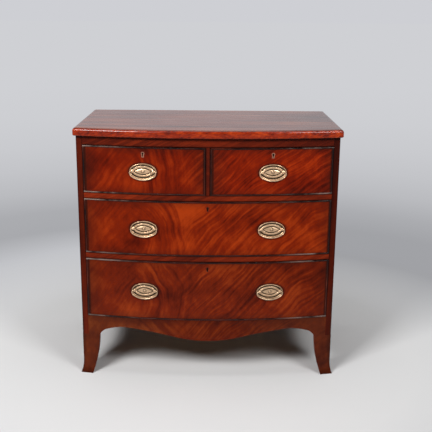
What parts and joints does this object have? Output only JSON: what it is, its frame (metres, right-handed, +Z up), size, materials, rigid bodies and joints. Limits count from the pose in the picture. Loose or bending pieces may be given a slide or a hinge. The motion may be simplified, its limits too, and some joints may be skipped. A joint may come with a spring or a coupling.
{
  "type": "bow front chest of drawers",
  "caption": "Bow front chest of drawers with cock beaded sliding drawers, swinging brass bail handles, shaped apron and splayed bracket feet.",
  "frame": {"origin": "on the floor, at the middle of the overall width and depth", "axes": "+Z up, the drawers open towards -Y, +X to the right of someone facing the front"},
  "size_m": [0.923, 0.538, 0.905],
  "materials": {
    "flame_mahogany": "french polished, flame figured veneer",
    "mahogany": "french polished",
    "drawer_lining": "bare oak",
    "pine": "bare pine",
    "handle_brass": "aged, soft polish",
    "lock_brass": "dull"
  },
  "bodies": {
    "carcase": {"apron": "flame_mahogany", "back_boards": "pine", "carcase_bottom": "pine", "centre_post": "mahogany", "drawer_runners": "pine", "drawer_stops": "pine", "dustboards": "pine", "frieze_rail": "mahogany", "kickers": "pine", "left_front_foot": "mahogany", "left_rear_foot": "mahogany", "left_side": "mahogany", "lower_rail": "mahogany", "right_front_foot": "mahogany", "right_rear_foot": "mahogany", "right_side": "mahogany", "top": "mahogany", "upper_rail": "mahogany"},
    "right_short_drawer": {"right_short_drawer_back": "drawer_lining", "right_short_drawer_bottom": "drawer_lining", "right_short_drawer_cockbeads": "mahogany", "right_short_drawer_front": "flame_mahogany", "right_short_drawer_handle_plate": "handle_brass", "right_short_drawer_handle_posts": "handle_brass", "right_short_drawer_lock": "lock_brass", "right_short_drawer_sides": "drawer_lining"},
    "right_short_drawer_lock_bolt": {"right_short_drawer_lock_bolt": "lock_brass"},
    "right_short_drawer_bail": {"right_short_drawer_bail": "handle_brass"},
    "left_short_drawer": {"left_short_drawer_back": "drawer_lining", "left_short_drawer_bottom": "drawer_lining", "left_short_drawer_cockbeads": "mahogany", "left_short_drawer_front": "flame_mahogany", "left_short_drawer_handle_plate": "handle_brass", "left_short_drawer_handle_posts": "handle_brass", "left_short_drawer_lock": "lock_brass", "left_short_drawer_sides": "drawer_lining"},
    "left_short_drawer_lock_bolt": {"left_short_drawer_lock_bolt": "lock_brass"},
    "left_short_drawer_bail": {"left_short_drawer_bail": "handle_brass"},
    "middle_drawer": {"middle_drawer_back": "drawer_lining", "middle_drawer_bottom": "drawer_lining", "middle_drawer_cockbeads": "mahogany", "middle_drawer_front": "flame_mahogany", "middle_drawer_handle_plates": "handle_brass", "middle_drawer_handle_posts": "handle_brass", "middle_drawer_lock": "lock_brass", "middle_drawer_sides": "drawer_lining"},
    "middle_drawer_lock_bolt": {"middle_drawer_lock_bolt": "lock_brass"},
    "middle_drawer_left_bail": {"middle_drawer_left_bail": "handle_brass"},
    "middle_drawer_right_bail": {"middle_drawer_right_bail": "handle_brass"},
    "bottom_drawer": {"bottom_drawer_back": "drawer_lining", "bottom_drawer_bottom": "drawer_lining", "bottom_drawer_cockbeads": "mahogany", "bottom_drawer_front": "flame_mahogany", "bottom_drawer_handle_plates": "handle_brass", "bottom_drawer_handle_posts": "handle_brass", "bottom_drawer_lock": "lock_brass", "bottom_drawer_sides": "drawer_lining"},
    "bottom_drawer_lock_bolt": {"bottom_drawer_lock_bolt": "lock_brass"},
    "bottom_drawer_left_bail": {"bottom_drawer_left_bail": "handle_brass"},
    "bottom_drawer_right_bail": {"bottom_drawer_right_bail": "handle_brass"}
  },
  "joints": [
    {"name": "right_short_drawer_slide", "type": "slide", "parent": "carcase", "child": "right_short_drawer", "axis": [0, -1, 0], "range_m": [0, 0.34]},
    {"name": "right_short_drawer_bolt_throw", "type": "slide", "parent": "right_short_drawer", "child": "right_short_drawer_lock_bolt", "axis": [0, 0, 1], "range_m": [0, 0.007]},
    {"name": "right_short_drawer_bail_swing", "type": "hinge", "parent": "right_short_drawer", "child": "right_short_drawer_bail", "pos_m": [0.22155, -0.24571, 0.76095], "axis": [-0.9945, -0.1043, 0], "range_deg": [0, 150]},
    {"name": "left_short_drawer_slide", "type": "slide", "parent": "carcase", "child": "left_short_drawer", "axis": [0, -1, 0], "range_m": [0, 0.34]},
    {"name": "left_short_drawer_bolt_throw", "type": "slide", "parent": "left_short_drawer", "child": "left_short_drawer_lock_bolt", "axis": [0, 0, 1], "range_m": [0, 0.007]},
    {"name": "left_short_drawer_bail_swing", "type": "hinge", "parent": "left_short_drawer", "child": "left_short_drawer_bail", "pos_m": [-0.22155, -0.24571, 0.76095], "axis": [-0.9945, 0.1043, 0], "range_deg": [0, 150]},
    {"name": "middle_drawer_slide", "type": "slide", "parent": "carcase", "child": "middle_drawer", "axis": [0, -1, 0], "range_m": [0, 0.34]},
    {"name": "middle_drawer_bolt_throw", "type": "slide", "parent": "middle_drawer", "child": "middle_drawer_lock_bolt", "axis": [0, 0, 1], "range_m": [0, 0.007]},
    {"name": "middle_drawer_left_bail_swing", "type": "hinge", "parent": "middle_drawer", "child": "middle_drawer_left_bail", "pos_m": [-0.22155, -0.24571, 0.55895], "axis": [-0.9945, 0.1043, 0], "range_deg": [0, 150]},
    {"name": "middle_drawer_right_bail_swing", "type": "hinge", "parent": "middle_drawer", "child": "middle_drawer_right_bail", "pos_m": [0.22155, -0.24571, 0.55895], "axis": [-0.9945, -0.1043, 0], "range_deg": [0, 150]},
    {"name": "bottom_drawer_slide", "type": "slide", "parent": "carcase", "child": "bottom_drawer", "axis": [0, -1, 0], "range_m": [0, 0.34]},
    {"name": "bottom_drawer_bolt_throw", "type": "slide", "parent": "bottom_drawer", "child": "bottom_drawer_lock_bolt", "axis": [0, 0, 1], "range_m": [0, 0.007]},
    {"name": "bottom_drawer_left_bail_swing", "type": "hinge", "parent": "bottom_drawer", "child": "bottom_drawer_left_bail", "pos_m": [-0.22155, -0.24571, 0.33095], "axis": [-0.9945, 0.1043, 0], "range_deg": [0, 150]},
    {"name": "bottom_drawer_right_bail_swing", "type": "hinge", "parent": "bottom_drawer", "child": "bottom_drawer_right_bail", "pos_m": [0.22155, -0.24571, 0.33095], "axis": [-0.9945, -0.1043, 0], "range_deg": [0, 150]}
  ]
}
